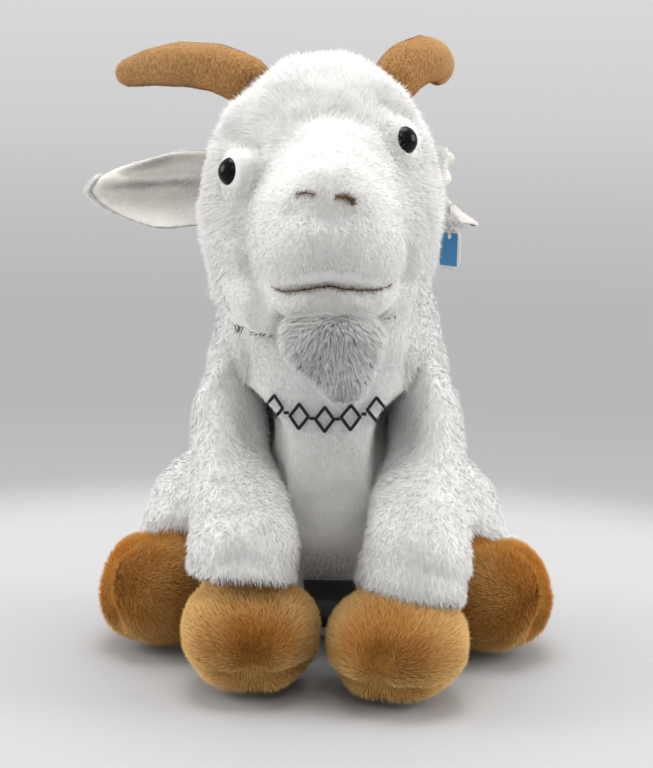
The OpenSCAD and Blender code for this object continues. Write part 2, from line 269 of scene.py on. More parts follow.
def puff(ob, pressure, cap, held=None):
    """Fills the cloth with stuffing: it swells between its seams, and no point moves further than cap."""
    start = points_of(ob.data)
    cloth = ob.modifiers.new("cloth", "CLOTH")
    s = cloth.settings
    s.quality = 4
    s.mass = 0.2
    s.tension_stiffness = s.compression_stiffness = 12
    s.shear_stiffness = 6
    s.bending_stiffness = 0.6
    s.use_pressure = True
    s.uniform_pressure_force = pressure
    s.effector_weights.gravity = 0
    cloth.collision_settings.use_collision = False
    cloth.collision_settings.use_self_collision = False
    if held is not None:
        group = ob.vertex_groups.new(name="held")
        for i in np.nonzero(held > 0.05)[0]:
            group.add([int(i)], float(held[i]), "REPLACE")
        s.vertex_group_mass = "held"
    cloth.point_cache.frame_start = 1
    cloth.point_cache.frame_end = 20
    for f in range(1, 21):
        scene.frame_set(f)
    graph = bpy.context.evaluated_depsgraph_get()
    moved = bpy.data.meshes.new_from_object(ob.evaluated_get(graph), depsgraph=graph)
    step = points_of(moved) - start
    bpy.data.meshes.remove(moved)
    ob.modifiers.clear()
    ob.vertex_groups.clear()
    scene.frame_set(1)
    far = np.linalg.norm(step, axis=1, keepdims=True)
    set_points(ob.data, start + step * np.minimum(1, cap / np.maximum(far, 1e-9)))


def finer(ob, material=None):
    """ob with each of its faces in four, in this material if it is given."""
    modified(ob, "SUBSURF", levels=1, render_levels=1)
    if material:
        ob.data.materials.clear()
        ob.data.materials.append(material)
    return ob


def tree_from(co, tris):
    return BVHTree.FromPolygons([tuple(v) for v in co], [tuple(t) for t in tris.tolist()])


def tree_of(ob):
    return tree_from(points_of(ob.data), tris_of(ob.data))


def nearest(tree, p):
    """The point of a surface nearest to each p, the surface's normal there, and how far it is."""
    found = [tree.find_nearest(Vector(q)) for q in p]
    return tuple(np.array([f[k] for f in found]) for k in (0, 1, 3))


def seen_from(tree, points, axis, start):
    """Points (the two coordinates other than axis, in mm) put on the surface, as seen along an axis from start."""
    out = []
    for a, b in points:
        other = [k for k in range(3) if k != axis]
        eye = Vector((0, 0, 0))
        eye[other[0]], eye[other[1]], eye[axis] = a * MM, b * MM, start
        way = Vector((0, 0, 0))
        way[axis] = -1 if start > 0 else 1
        hit = tree.ray_cast(eye, way)
        out.append(np.array(hit[0]) if hit[0] else np.array(eye))
    return np.array(out)


def off_line(p, line):
    """The distance of each point from a line of points."""
    best = np.full(len(p), np.inf)
    for a, b in zip(line[:-1], line[1:]):
        ab = b - a
        t = np.clip(((p - a) @ ab) / max(ab @ ab, 1e-12), 0, 1)
        best = np.minimum(best, np.linalg.norm(p - a - t[:, None] * ab, axis=1))
    return best


def pull(co, normals, line, width, depth):
    """Draws the cloth in along a line, as a seam or a fold does. A negative depth makes a ridge."""
    w = np.exp(-((off_line(co, line) / (width * MM)) ** 2))
    return co - normals * (w * depth * MM)[:, None]


def split(ob, parts, material):
    """Cuts a form into pieces, each face going to the nearest CAD node in parts = {piece: (node, ...)}."""
    co, quads = points_of(ob.data), quads_of(ob.data)
    middle = co[quads].mean(1)
    owner = np.argmin([nearest(tree_from(*cad(*nodes)), middle)[2] for nodes in parts.values()], axis=0)
    pieces = []
    for k, name in enumerate(parts):
        mine = quads[owner == k]
        used, faces = np.unique(mine, return_inverse=True)
        pieces.append(place(name, mesh_from(name, co[used], [faces.reshape(-1, 4)]), material[k]))
    bpy.data.objects.remove(ob)
    return pieces


def thicken(ob, thickness):
    return modified(ob, "SOLIDIFY", thickness=thickness, offset=-1)


# ---------- materials ----------


def shader(name, roughness, colour=(0.8, 0.8, 0.8), sheen=0.0, coat=0.0, specular=0.5):
    mat = bpy.data.materials.new(name)
    mat.use_nodes = True
    nodes = mat.node_tree.nodes
    p = nodes["Principled BSDF"]
    p.inputs["Base Color"].default_value = (*colour, 1)
    p.inputs["Roughness"].default_value = roughness
    p.inputs["Sheen Weight"].default_value = sheen
    p.inputs["Sheen Roughness"].default_value = 0.5
    p.inputs["Coat Weight"].default_value = coat
    p.inputs["Specular IOR Level"].default_value = specular
    return mat, mat.node_tree, p


def link(tree, a, out, b, into):
    tree.links.new(a.outputs[out], b.inputs[into])


def add(tree, kind, **values):
    """A new node with these inputs set: From_Min sets the input From Min."""
    node = tree.nodes.new("ShaderNode" + kind)
    for key, value in values.items():
        node.inputs[key.replace("_", " ")].default_value = value
    return node


def noise_node(tree, scale, detail=3.0, stretch=None):
    coord = add(tree, "TexCoord")
    tex = add(tree, "TexNoise", Scale=scale, Detail=detail)
    if stretch:
        mapping = add(tree, "Mapping", Scale=stretch)
        link(tree, coord, "Object", mapping, "Vector")
        link(tree, mapping, "Vector", tex, "Vector")
    else:
        link(tree, coord, "Object", tex, "Vector")
    return tex


def ramp_node(tree, source, out, stops):
    ramp = add(tree, "ValToRGB")
    e = ramp.color_ramp.elements
    while len(e) < len(stops):
        e.new(0.5)
    for k, (at, colour) in enumerate(stops):
        e[k].position = at
        e[k].color = (*colour, 1)
    link(tree, source, out, ramp, "Fac")
    return ramp


def mix_node(tree, kind, factor, a, b):
    """Mixes two colour outputs. factor is a number or an output."""
    mix = add(tree, "Mix")
    mix.data_type = "RGBA"
    mix.blend_type = kind
    if isinstance(factor, float):
        mix.inputs[0].default_value = factor
    else:
        tree.links.new(factor, mix.inputs[0])
    for source, into in ((a, mix.inputs[6]), (b, mix.inputs[7])):
        if isinstance(source, tuple):
            into.default_value = (*source, 1)
        else:
            tree.links.new(source, into)
    return mix.outputs[2]


def bumped(tree, p, output, strength, distance):
    bump = add(tree, "Bump", Strength=strength, Distance=distance)
    tree.links.new(output, bump.inputs["Height"])
    link(tree, bump, "Normal", p, "Normal")


def pile_material(name, root, tip, darkest, roughness=0.75):
    """Strands that go from one colour at the root to another at the tip, the darker root colour painted shade down in
    the pile. darkest multiplies the colour at tone 0; tone differs at random, except on the hooves and horns, where it
    carries painted light and shade.
    """
    mat, tree, p = shader(name, roughness, tip, specular=0.12)
    along, tone = add(tree, "Attribute"), add(tree, "Attribute")
    along.attribute_name, tone.attribute_name = "along", "tone"
    middle = tuple((a + b) / 2 for a, b in zip(root, tip))
    body = ramp_node(tree, along, "Fac", [(0.0, root), (0.55, middle), (1.0, tip)])
    own = ramp_node(tree, tone, "Fac", [(0.0, darkest), (1.0, (1.0, 1.0, 1.0))])
    mixed = mix_node(tree, "MULTIPLY", 1.0, body.outputs["Color"], own.outputs["Color"])
    tree.links.new(mixed, p.inputs["Base Color"])
    return mat


def backing_material(name, low, high, scale=900, depth=0.0004, roughness=0.9, sheen=0.0):
    """The cloth under the pile, with the roots of the pile as fine grain."""
    mat, tree, p = shader(name, roughness, high, sheen=sheen, specular=0.2)
    fine = noise_node(tree, scale, 2.0, (1, 1, 0.35))
    ramp = ramp_node(tree, fine, "Fac", [(0.3, low), (0.7, high)])
    wide = ramp_node(tree, noise_node(tree, 60, 2.0), "Fac", [(0.3, (0.93,) * 3), (0.7, (1.0,) * 3)])
    mixed = mix_node(tree, "MULTIPLY", 1.0, ramp.outputs["Color"], wide.outputs["Color"])
    tree.links.new(mixed, p.inputs["Base Color"])
    bumped(tree, p, fine.outputs["Fac"], 0.5, depth)
    return mat


# The darker root colours of the piles here and below are painted shade down in the pile.
WHITE_ROOT, WHITE_TIP = (0.90, 0.89, 0.87), (0.98, 0.975, 0.96)

white_pile = pile_material("white_long_pile", WHITE_ROOT, WHITE_TIP, (0.92, 0.915, 0.90))
white_short = pile_material("white_short_pile", WHITE_ROOT, WHITE_TIP, (0.94, 0.935, 0.92))
# The beard's pile is a lighter copy of the white pile: painted light, against the shade that the chin casts on the
# beard.
beard_pile_painted_light = pile_material("beard_pile_painted_light", (0.95, 0.945, 0.93), (0.99, 0.985, 0.97), (0.96, 0.955, 0.94))
cream_pile = pile_material("ear_lining_nap", (0.90, 0.87, 0.79), (0.98, 0.965, 0.91), (0.95, 0.94, 0.91))
tan_pile = pile_material("tan_pile", (0.46, 0.165, 0.02), (1.0, 0.73, 0.32), (0.60, 0.35, 0.12))
suede_pile = pile_material("suede_nap", (0.44, 0.24, 0.10), (0.76, 0.53, 0.29), (0.64, 0.38, 0.17))
white_cloth = backing_material("white_backing", (0.84, 0.83, 0.81), (0.94, 0.935, 0.92))
tan_cloth = backing_material("tan_backing", (0.26, 0.10, 0.014), (0.46, 0.23, 0.05))
suede_cloth = backing_material("tan_suede", (0.28, 0.12, 0.03), (0.58, 0.34, 0.14), 1100, 0.0003)
ear_cloth = backing_material("ear_lining_cloth", (0.90, 0.87, 0.80), (0.97, 0.955, 0.90), 700, 0.0002)
seat_cloth = backing_material("seat_cloth", (0.62, 0.61, 0.59), (0.75, 0.74, 0.72), 1200, 0.0003)


# ---------- pile ----------


def sideways(v):
    """Two unit vectors across each v."""
    other = np.where(np.abs(v[:, 2:]) < 0.9, UP, np.array([1.0, 0, 0]))
    a = unit(np.cross(v, other))
    return a, np.cross(v, a)


JUST_OFF_FLOOR = 0.0004
SKY = np.array([0, -0.25, 0.9])


def turned_up(n, lean):
    """Normals turned towards the sky, those that face down the most."""
    n = n.copy()
    n[:, 2] = np.maximum(n[:, 2], -0.15)
    return unit(n + lean * SKY)


def strands(name, roots, normals, tips, width, material, seed, bend=None, own=0.22, tone=None):
    """Tapered strands, each a closed spike with its foot in the cloth. bend moves the middle of each one.

    own is how far each takes the light by its own shape and not by the cloth's; None is wholly by its own.
    """
    rng = np.random.default_rng(seed)
    n = len(roots)
    way = unit(tips - roots)
    a, b = sideways(way)
    turn = rng.random(n) * 2 * math.pi
    rings = [(roots - normals * 0.0004, 1.0, 0.0)]
    if bend is not None:
        rings.append(((roots + tips) / 2 + bend, 0.85, 0.5))
    co, along, lean = [], [], []
    for middle, share, t in rings:
        for k in range(3):
            angle = (turn + k * 2 * math.pi / 3)[:, None]
            out = a * np.cos(angle) + b * np.sin(angle)
            co.append(middle + out * (width * share / 2)[:, None])
            along.append(np.full(n, t))
            lean.append(unit(normals + (own or 0) * out))
    co.append(tips)
    along.append(np.ones(n))
    lean.append(normals)
    per = len(co)
    first = (np.arange(n) * per)[:, None]
    three, four = [first + np.array([[0, 2, 1]])], []
    top = per - 4
    for k in range(3):
        three.append(first + np.array([[top + k, top + (k + 1) % 3, per - 1]]))
        if bend is not None:
            four.append(first + np.array([[k, (k + 1) % 3, 3 + (k + 1) % 3, 3 + k]]))
    points = np.stack(co, axis=1).reshape(-1, 3)
    mesh = mesh_from(name, points, [np.concatenate(three)] + ([np.concatenate(four)] if four else []))
    along = np.stack(along, axis=1).ravel()
    tone = np.repeat(rng.random(n) if tone is None else tone, per)
    mesh.attributes.new("along", "FLOAT", "POINT").data.foreach_set("value", along.astype(np.float32))
    mesh.attributes.new("tone", "FLOAT", "POINT").data.foreach_set("value", tone.astype(np.float32))
    corner = np.empty(len(mesh.loops), np.int32)
    mesh.loops.foreach_get("vertex_index", corner)
    aside = (corner % per % 3 - 1) * 0.004
    uv = np.stack([0.02 + 0.96 * tone[corner] + aside, 0.02 + 0.96 * along[corner]], axis=1)
    mesh.uv_layers.new(name="OFBake").data.foreach_set("uv", uv.astype(np.float32).ravel())
    if own is not None:
        mesh.normals_split_custom_set_from_vertices(np.stack(lean, axis=1).reshape(-1, 3).tolist())
    return place(name, mesh, material)


def scattered(cloths, count, rng, keep=None):
    """Evenly spread points on the cloths' outsides, with their normals."""
    corner = np.concatenate([points_of(ob.data)[tris_of(ob.data)] for ob in cloths])
    normal = np.concatenate([normals_of(ob.data)[tris_of(ob.data)] for ob in cloths])
    weight = np.linalg.norm(np.cross(corner[:, 1] - corner[:, 0], corner[:, 2] - corner[:, 0]), axis=1)
    if keep is not None:
        weight = weight * keep(corner.mean(1), unit(normal.mean(1)))
    total = np.cumsum(weight)
    pick = np.searchsorted(total, (np.arange(count) + rng.random(count)) / count * total[-1])
    pick = np.minimum(pick, len(corner) - 1)
    s, t = np.sqrt(rng.random((count, 1))), rng.random((count, 1))
    share = np.stack([1 - s, s * (1 - t), s * t], axis=1)
    return (corner[pick] * share).sum(1), unit((normal[pick] * share).sum(1))


def fur(name, cloths, material, count, length, width, lift, comb, seed, clump=0.45, rough=0.16, keep=None,
        curl=0.0, locks=14, swirl=0.4, droop=0.0, own=0.15, uneven=0.3, shade=None, lean=0.3, under=-2.0):
    """Pile on cloths: count strands combed along comb(p, n), drawn together in locks, none of it below the floor.

    None grows where the cloth faces further down than under. shade, where it is given, gives each strand its tone as
    painted light and shade, and otherwise the tone differs at random; lean turns the way that it takes the light
    towards the sky, as light that comes through the pile does.
    """
    rng = np.random.default_rng(seed)
    p, n = scattered(cloths, count, rng, lambda p, n: (n[:, 2] > under) * (keep(p, n) if keep else 1.0))
    flow = comb(p, n) + swirl * noise3(p, 0.022, seed) + swirl * 0.5 * noise3(p, 0.009, seed + 5)
    flow = unit(flow - n * (flow * n).sum(1, keepdims=True))
    long = (length(p) if callable(length) else np.full(count, length * MM)) * (0.7 + 0.45 * rng.random(count))
    up = lift * (1 + uneven * noise(p, 0.013, seed + 9))[:, None]
    way = unit(n * up + flow * (1 - up) + rough * rng.normal(size=(count, 3)))
    tips = p + way * long[:, None]
    tips[:, 2] -= droop * long
    heads = rng.permutation(count)[: max(4, count // locks)]
    near = KDTree(len(heads))
    for k, i in enumerate(heads):
        near.insert(Vector(p[i]), k)
    near.balance()
    mine = heads[np.array([near.find(Vector(q))[1] for q in p])]
    goal = tips[mine] + (p - p[mine]) * 0.3
    gap = np.linalg.norm(p - p[mine], axis=1)
    hold = clump * np.clip(1 - gap / (long * 1.2), 0, 1)
    tips += (goal - tips) * hold[:, None]
    tips[:, 2] = np.maximum(tips[:, 2], JUST_OFF_FLOOR)
    bend = n * (long * curl)[:, None] if curl else None
    thick = width * MM * (0.7 + 0.6 * rng.random(count))
    n = turned_up(n, lean)
    # A tone from shade is painted light and shade; the default tone differs at random.
    tone = shade(p) if shade else 0.5 + 0.3 * noise(p, 0.016, seed + 11)
    tone = np.clip(tone + 0.5 * (rng.random(count) - 0.5), 0, 1)
    return strands(name, p, n, tips, thick, material, seed + 3, bend, own, tone)


def leaning(ob, lean):
    """Thin or loose cloth takes the light as if it faced a little more to the sky, as light comes through it."""
    ob.data.normals_split_custom_set_from_vertices(turned_up(normals_of(ob.data), lean).tolist())


def down(p, n):
    return np.tile(-UP, (len(p), 1))


# ---------- putting pieces together ----------


def belongs(ob, body, slot, *nodes):
    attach(ob, body)
    if nodes:
        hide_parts(*nodes)
    return ob


def eye_seat(node):
    """The middle of an eye's rim and the way that it looks, from its dome and shank."""
    co = cad(node)[0]
    middle = co.mean(0)
    far = np.linalg.norm(co - middle, axis=1)
    way = unit(middle - co[np.argsort(far)[-40:]].mean(0))
    along = (co - middle) @ way
    across = np.linalg.norm(co - middle - along[:, None] * way, axis=1)
    rim = co[across > 0.97 * across.max()]
    return rim.mean(0), way, across.max()


def stitches(name, ends, thickness, material, high=0.5):
    """Short lengths of thread between pairs of points, each fat in its middle and sunk at its ends."""
    co, faces = [], []
    sides, rings = 6, 6
    for (a, b, n), thick in zip(ends, np.broadcast_to(thickness, len(ends))):
        way = unit(b - a)
        x = unit(np.cross(way, n))
        z = np.cross(x, way)
        start = len(co)
        for i in range(rings + 1):
            t = i / rings
            r = thick * MM / 2 * math.sqrt(max(0.0, 1 - (2 * t - 1) ** 4)) + 1e-5
            rise = thick * MM * high * (1 - (2 * t - 1) ** 2) - thick * MM * 0.15
            for k in range(sides):
                angle = 2 * math.pi * k / sides
                co.append(a + (b - a) * t + z * (rise + r * math.sin(angle)) + x * (r * math.cos(angle)))
        for i in range(rings):
            for k in range(sides):
                p, q = start + i * sides + k, start + i * sides + (k + 1) % sides
                faces.append((p, q, q + sides, p + sides))
        first = tuple(start + k for k in range(sides))
        caps = (first[::-1], tuple(k + rings * sides for k in first))
        faces += [c[:4] for c in caps] + [(c[0], *c[3:]) for c in caps]
    return place(name, mesh_from(name, np.array(co), [np.array(faces)]), material)


def along_line(line, pitch):
    """Points at even steps along a line of points."""
    step = np.linalg.norm(np.diff(line, axis=0), axis=1)
    total = np.concatenate([[0], np.cumsum(step)])
    at = np.linspace(0, total[-1], max(2, int(round(total[-1] / (pitch * MM))) + 1))
    return np.stack([np.interp(at, total, line[:, k]) for k in range(3)], axis=1)


def on_cloth(tree, p, axis=1, start=-0.3):
    """Points dropped on a surface along an axis, with the normals there."""
    out, normals = [], []
    for q in p:
        eye, way = Vector(q), Vector((0, 0, 0))
        eye[axis] = start
        way[axis] = -1 if start > 0 else 1
        hit = tree.ray_cast(eye, way)
        out.append(np.array(hit[0]) if hit[0] else q)
        normals.append(np.array(hit[1]) if hit[0] else -np.array(way))
    return np.array(out), np.array(normals)


def thread_material(name, low, high, roughness=0.55):
    mat, tree, p = shader(name, roughness, high, sheen=0.1, specular=0.3)
    twist = noise_node(tree, 1500, 2.0)
    ramp = ramp_node(tree, twist, "Fac", [(0.35, low), (0.65, high)])
    link(tree, ramp, "Color", p, "Base Color")
    bumped(tree, p, twist.outputs["Fac"], 0.5, 0.0002)
    return mat


black_thread = thread_material("black_thread", (0.004, 0.004, 0.005), (0.02, 0.02, 0.022))
brown_thread = thread_material("brown_thread", (0.035, 0.016, 0.007), (0.13, 0.066, 0.03))
tan_thread = thread_material("tan_thread", (0.16, 0.075, 0.026), (0.32, 0.17, 0.07))


# ---------- head ----------


def swing_from(centre, drop=0.6):
    """A comb that leads away from a point and down."""
    c = np.array(centre) * MM

    def comb(p, n):
        return unit(p - c) - drop * UP

    return comb


def eased(ob, share, rounds):
    """The points of ob smoothed where share is near 1."""
    ring = np.empty(len(ob.data.edges) * 2, np.int32)
    ob.data.edges.foreach_get("vertices", ring)
    ring = ring.reshape(-1, 2)
    co = points_of(ob.data)
    count = np.bincount(ring.ravel(), minlength=len(co))[:, None]
    for _ in range(rounds):
        total = np.zeros_like(co)
        np.add.at(total, ring[:, 0], co[ring[:, 1]])
        np.add.at(total, ring[:, 1], co[ring[:, 0]])
        co = co + (total / count - co) * (0.6 * share)[:, None]
    set_points(ob.data, co)
    return co


def cheek_hollow(p):
    """From 0 to 1 over the sides of the muzzle, where it runs out into the cheeks."""
    x = np.abs(p[:, 0] / MM)
    return (
        ramp(x, 13, 24) * (1 - ramp(x, 52, 64)) * ramp(-p[:, 1] / MM, 12, 34)
        * ramp(p[:, 2] / MM, 196, 210) * (1 - ramp(p[:, 2] / MM, 276, 294))
    )


def rounded_chin(co):
    """Draws the chin in to a round end, seen from the front."""
    low = np.clip((197 - co[:, 2] / MM) / 24, 0, 1) * ramp(-co[:, 1] / MM, 40, 62)
    share = np.sqrt(np.maximum(1 - low ** 2 * 0.82, 0.02))
    co = co.copy()
    co[:, 0] = 0.001 + (co[:, 0] - 0.001) * share
    co[:, 2] -= 0.0025 * low * (1 - ramp(np.abs(co[:, 0]) / MM, 14, 34))
    return co


def jowls(co):
    """Fills the lower edges of the cheeks out forward and down, and the nape back, so that they meet the shoulders."""
    x, y, z = np.abs(co[:, 0]) / MM, co[:, 1] / MM, co[:, 2] / MM
    low = 1 - ramp(z, 188, 206)
    cheek = low * ramp(x, 15, 27) * (1 - ramp(x, 56, 66)) * ramp(-y, 2, 28) * (1 - ramp(-y, 54, 70))
    nape = (1 - ramp(z, 180, 196)) * ramp(y, 0, 24)
    co = co.copy()
    co[:, 1] += (0.005 * nape - 0.014 * cheek)
    co[:, 2] -= 0.005 * cheek + 0.005 * nape
    return co


def make_head():
    nodes = ("head_skin", "chin_skin", "head_stuffing")
    ob = form("head_form", nodes, 0.003, 9, 0.0028)
    tree = tree_of(ob)
    co, no = surface_of(ob)

    def front(*points):
        return seen_from(tree, points, 1, -0.3)

    co = eased(ob, cheek_hollow(co), 55)
    no = normals_of(ob.data)
    for line, width, depth in (
        (front((-58, 268), (-50, 268.5), (-42, 266), (-35, 264)), 3.6, 2.6),
        (front((-60, 279), (-50, 280)), 7, -2.6),
        (front((-57, 262.5), (-46, 262)), 4.5, -1.6),
        (front((24, 287), (31, 284), (40, 281), (47, 278)), 3.6, 2.2),
        (front((24, 295), (32, 293), (42, 289)), 8, -1.8),
        (front((30, 279), (40, 276)), 4.5, -1.4),
        (front((-24, 266), (-14, 270), (0, 272), (12, 269), (23, 262)), 7, 2.4),
        (front((-16, 276), (0, 281), (14, 277)), 6, 1.2),
        (front((4, 252), (-3, 252)), 11, -3.6),
        (front((-40, 224), (-39, 214), (-36, 203), (-31, 194)), 4.0, 1.8),
        (front((34, 234), (39, 226), (40, 214), (36, 203)), 4.0, 1.8),
        (front((-50, 232), (-50, 220), (-46, 206)), 9, -1.5),
        (front((49, 236), (51, 222), (46, 208)), 9, -1.5),
        (front((-1, 231), (0, 206)), 2.6, 1.2),
        (front((-18, 237), (-8, 234), (4, 233), (14, 235)), 6, 2.8),
        (front((-28, 214), (-10, 213), (10, 213), (28, 214)), 9, -2.2),
        (front((-28, 197.6), (-13, 197.7), (1, 200.3), (14, 198.5), (31, 199.5)), 3.2, 3.6),
        (front((-22, 191), (-10, 187), (1, 186), (14, 187), (24, 191)), 8, -4.0),
    ):
        co = pull(co, no, line, width, depth)
    co += no * (0.0014 * noise(co, 0.019, 3) + 0.0009 * noise(co, 0.009, 4))[:, None]
    co = jowls(rounded_chin(co))
    for rim, way, r in SEATS:
        off = co - rim
        deep = off @ way
        out = np.linalg.norm(off - deep[:, None] * way, axis=1)
        near = np.linalg.norm(off, axis=1)
        hold = (1 - ramp(out, 1.05 * r, 2.1 * r)) * (1 - ramp(near, 1.6 * r, 2.6 * r))
        co -= way * (hold * (deep - 0.0008))[:, None]
    set_points(ob.data, co)
    held = np.zeros(len(co))
    for rim, way, r in SEATS:
        held = np.maximum(held, 1 - ramp(np.linalg.norm(co - rim, axis=1), 1.2 * r, 2.0 * r))
    mouth = front((-30, 199), (1, 200), (32, 200))
    held = np.maximum(held, 1 - ramp(off_line(co, mouth), 0.003, 0.008))
    puff(ob, 3.0, 0.0025, held)
    return finer(ob)


SEATS = [eye_seat(f"{side}_eye") for side, _ in SIDES]
head_form = make_head()
head_tree = tree_of(head_form)
head, chin = split(
    head_form, {"head_plush": ("head_skin",), "chin_plush": ("chin_skin",)}, [white_cloth, white_cloth]
)
belongs(head, "head", "long_pile_plush", "head_skin", "head_stuffing")
belongs(chin, "head", "short_pile_plush", "chin_skin")

NOSE = (0, -112, 252)


def round_eyes(p, low, high, least):
    """From least at the eyes' rims to 1 away from them."""
    share = np.ones(len(p))
    for rim, way, r in SEATS:
        share *= least + (1 - least) * ramp(np.linalg.norm(p - rim, axis=1), low * r, high * r)
    return share


def head_length(p):
    """Short on the muzzle and round the eyes, longer over the crown, the cheeks and the back."""
    face = ramp(-p[:, 1], 0.030, 0.075)
    nape = ramp(-p[:, 2], -0.205, -0.180) * (1 - ramp(-p[:, 1], 0.020, 0.045))
    return (0.0062 - 0.0034 * face + 0.0035 * nape) * round_eyes(p, 1.0, 2.6, 0.5)


def clear_of_face(p, n):
    """No pile under the eyes, nor where the cheeks turn in to the neck."""
    open_ = 1.0 - (p[:, 2] < 0.192) * (n[:, 2] < -0.35)
    for rim, way, r in SEATS:
        open_ *= np.linalg.norm(p - rim, axis=1) > 0.96 * r
    return open_


def head_comb(p, n):
    """Away from the nose and down, and outward round the eyes."""
    flow = unit(p - np.array(NOSE) * MM) - 0.35 * UP
    for rim, way, r in SEATS:
        near = 1 - ramp(np.linalg.norm(p - rim, axis=1), 1.2 * r, 2.4 * r)
        flow += 2.0 * near[:, None] * unit(p - rim)
    return flow


head_fur = fur(
    "head_pile", [head], white_pile, 50000, head_length, 0.46, 0.32, head_comb, 11, clump=0.3, keep=clear_of_face,
    under=-0.6,
)
belongs(head_fur, "head", "long_pile_plush")
chin_comb = swing_from((0, -110, 205), 0.5)
chin_fur = fur("chin_pile", [chin], white_short, 9000, 2.8, 0.42, 0.28, chin_comb, 12, clump=0.25)
belongs(chin_fur, "head", "short_pile_plush")

brown_pile = pile_material("brown_fibre", (0.16, 0.07, 0.03), (0.60, 0.42, 0.27), (0.6, 0.5, 0.4))


def sewn_line(name, points, pitch, thick, fuzz, *nodes):
    """A line of back stitches on the face, with loose fibres of thread among the pile."""
    line, _ = on_cloth(head_tree, along_line(np.array([(x * MM, 0, z * MM) for x, z in points]), pitch))
    _, normal = on_cloth(head_tree, line)
    lift = normal * 0.0008
    ends = [
        (line[k] + lift[k], line[min(k + 1, len(line) - 1)] * 1.12 - line[k] * 0.12 + lift[k], normal[k])
        for k in range(len(line) - 1)
    ]
    share = np.sin(np.pi * (np.arange(len(ends)) + 0.7) / (len(ends) + 0.4)) ** 1.8
    thread = stitches(name, ends, thick * (0.3 + 0.7 * share), brown_thread)
    belongs(thread, "head", "brown_thread", *nodes)
    rng = np.random.default_rng(fuzz)
    n = 3 * fuzz * (len(line) - 1)
    at = rng.random(n) * (len(line) - 1)
    i = np.minimum(at.astype(int), len(line) - 2)
    f = (at - i)[:, None]
    thin = 0.35 + 0.65 * np.sin(np.pi * (at + 0.5) / len(line))[:, None]
    root = line[i] * (1 - f) + line[i + 1] * f + rng.normal(size=(n, 3)) * 0.0010 * thin
    away = unit(normal[i] * 0.7 + rng.normal(size=(n, 3)) * 0.8)
    root += normal[i] * 0.0006
    tips = root + away * (0.001 + 0.0020 * rng.random(n))[:, None]
    loose = strands(name + "_fibres", root, normal[i], tips, np.full(n, 0.0002), brown_pile, fuzz)
    belongs(loose, "head", "brown_thread")


sewn_line(
    "mouth_thread",
    [(-27, 197.4), (-21, 196.6), (-13, 197.7), (-4.6, 199.7), (1, 200.3), (8, 198.9), (17.5, 198.3), (30, 199.6)],
    2.2, 0.95, 11, "mouth_stitching",
)
sewn_line("right_nostril_thread", [(-15.5, 242.3), (-11.5, 243.6), (-7, 242.9)], 1.5, 0.7, 10, "nostril_stitching")
sewn_line("left_nostril_thread", [(2.6, 241.9), (6.5, 242.0), (9.0, 240.9), (11.5, 238.8)], 1.4, 0.9, 14)
sewn_line("left_nostril_knot", [(6.6, 243.0), (8.8, 241.2), (11.6, 240.9)], 1.3, 0.75, 12)


# ---------- torso ----------


def make_torso():
    nodes = ("torso_skin", "torso_stuffing", "chest_panel", "seat_panel", "pellet_bag", "pellet_fill")
    ob = form("torso_form", nodes, 0.0032, 12, 0.0025)
    co, no = surface_of(ob)
    low = ramp(co[:, 2], 0.002, 0.02)
    co += no * ((0.0012 * noise(co, 0.024, 21) + 0.0006 * noise(co, 0.010, 22)) * low)[:, None]
    under = ramp(-co[:, 2], -0.062, -0.008) * ramp(-co[:, 1], -0.025, 0.02)
    co[:, 1] += 0.024 * (under * ramp(-np.abs(co[:, 0]), -0.055, -0.03))
    belly = ramp(co[:, 2], 0.030, 0.070) * (1 - ramp(co[:, 2], 0.095, 0.150))
    co[:, 1] -= 0.008 * belly * ramp(-co[:, 1], 0.0, 0.030)
    neck = ramp(co[:, 2], 0.150, 0.170) * ramp(-co[:, 1], -0.030, 0.020)
    co[:, 2] += 0.004 * neck
    co[:, 1] -= 0.004 * neck
    high = ramp(co[:, 2], 0.118, 0.160) * (1 - ramp(co[:, 2], 0.192, 0.214))
    wide = 0.13 * high + 0.06 * ramp(-co[:, 2], -0.110, -0.060) * ramp(co[:, 1], -0.010, 0.020)
    co[:, 0] *= 1 + wide
    set_points(ob.data, co)
    puff(ob, 2.5, 0.0025, 1 - ramp(co[:, 2], 0.004, 0.012))
    co = points_of(ob.data)
    co[:, 2] = np.maximum(co[:, 2], JUST_OFF_FLOOR)
    set_points(ob.data, co)
    return finer(ob)


torso_form = make_torso()
torso_tree = tree_of(torso_form)
torso, chest, seat = split(
    torso_form,
    {"torso_plush": ("torso_skin",), "chest_plush": ("chest_panel",), "seat_cloth": ("seat_panel",)},
    [white_cloth, white_cloth, seat_cloth],
)
belongs(torso, "torso", "long_pile_plush", "torso_skin", "torso_stuffing")
belongs(chest, "torso", "short_pile_plush", "chest_panel")
belongs(seat, "torso", "lining_cloth", "seat_panel")


def off_floor(p, n):
    return ramp(p[:, 2], 0.004, 0.012)


def torso_length(p):
    return 0.0058 - 0.0032 * ramp(p[:, 2], 0.150, 0.172)


torso_fur = fur(
    "torso_pile", [torso], white_pile, 46000, torso_length, 0.48, 0.40, down, 31, keep=off_floor, droop=0.1, clump=0.3,
    swirl=0.3, uneven=0.12, locks=22, rough=0.14,
)
belongs(torso_fur, "torso", "long_pile_plush")
chest_fur = fur("chest_pile", [chest], white_short, 18000, 2.2, 0.4, 0.24, down, 32, clump=0.15, keep=off_floor)
belongs(chest_fur, "torso", "short_pile_plush")


